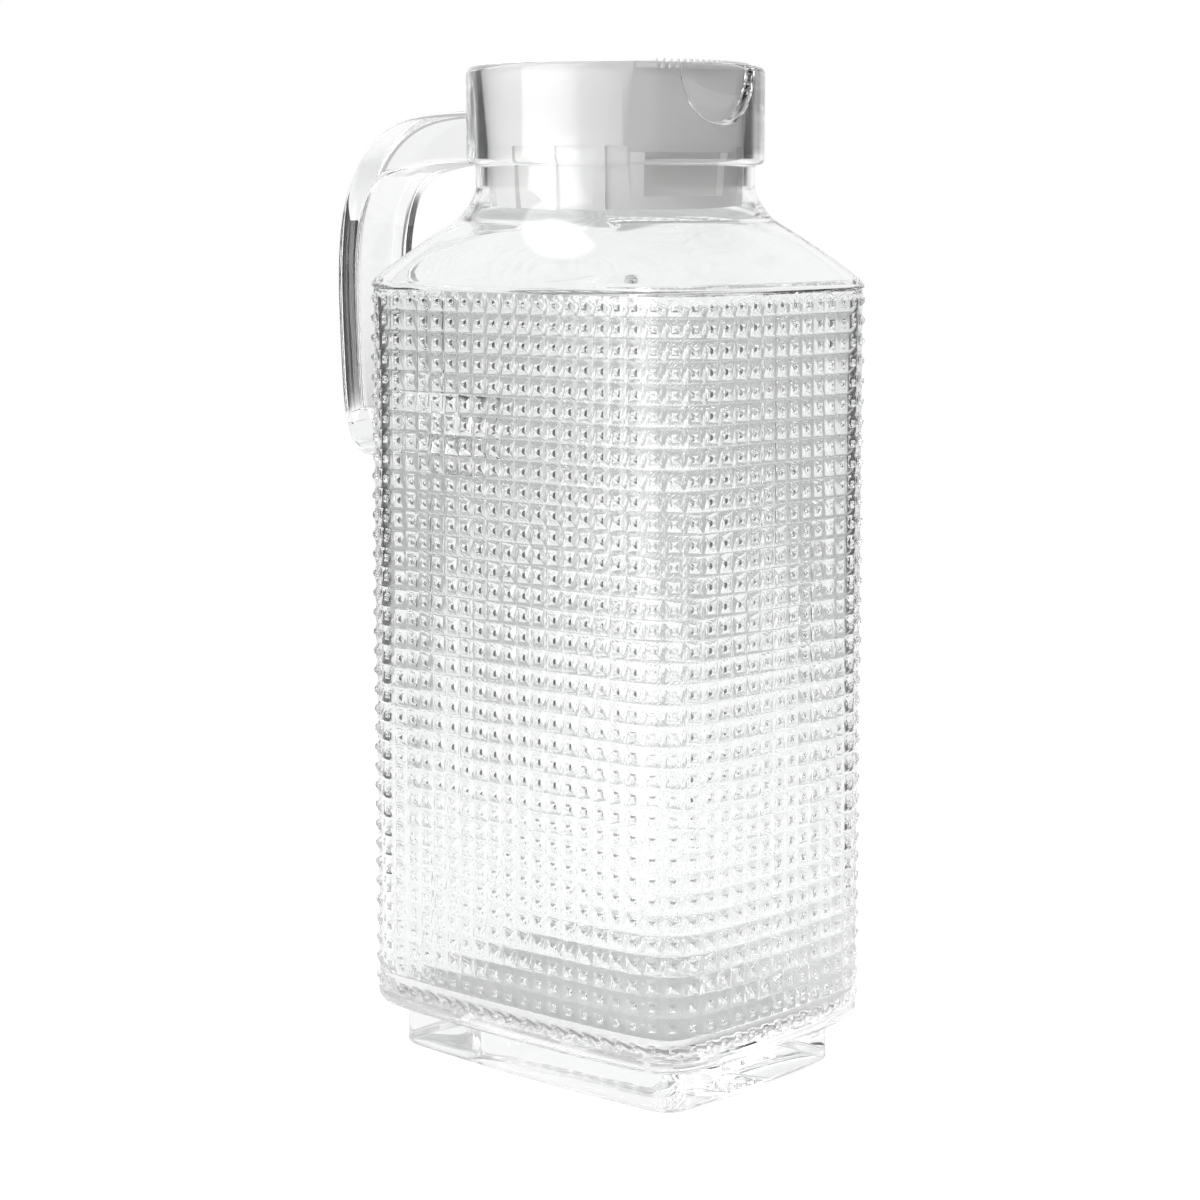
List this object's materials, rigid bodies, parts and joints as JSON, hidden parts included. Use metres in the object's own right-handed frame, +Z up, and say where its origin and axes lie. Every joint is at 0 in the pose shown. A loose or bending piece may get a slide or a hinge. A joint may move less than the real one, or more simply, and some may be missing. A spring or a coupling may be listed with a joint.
{
  "type": "glass water jug",
  "caption": "Tall rounded-rectangular glass jug with diamond-point relief, sloping shoulder, thick round collar with a pour channel, strap handle and a white push-in lid.",
  "frame": {"origin": "centre of the foot's underside, on the axis of the round neck", "axes": "+Z up along the neck's axis, +X from the handle to the pour channel, +Y across the body's narrow way"},
  "size_m": [0.159, 0.0914, 0.2709],
  "materials": {
    "clear_glass": "clear, fire-polished",
    "handle_glass": "clear, fire-polished",
    "lid_plastic": "smooth satin white"
  },
  "bodies": {
    "jug": {"glass_body": "clear_glass", "glass_handle": "handle_glass"},
    "lid": {"lid": "lid_plastic"}
  },
  "joints": [
    {"name": "lid_lift", "type": "slide", "parent": "jug", "child": "lid", "axis": [0, 0, 1], "range_m": [0, 0.06]}
  ]
}
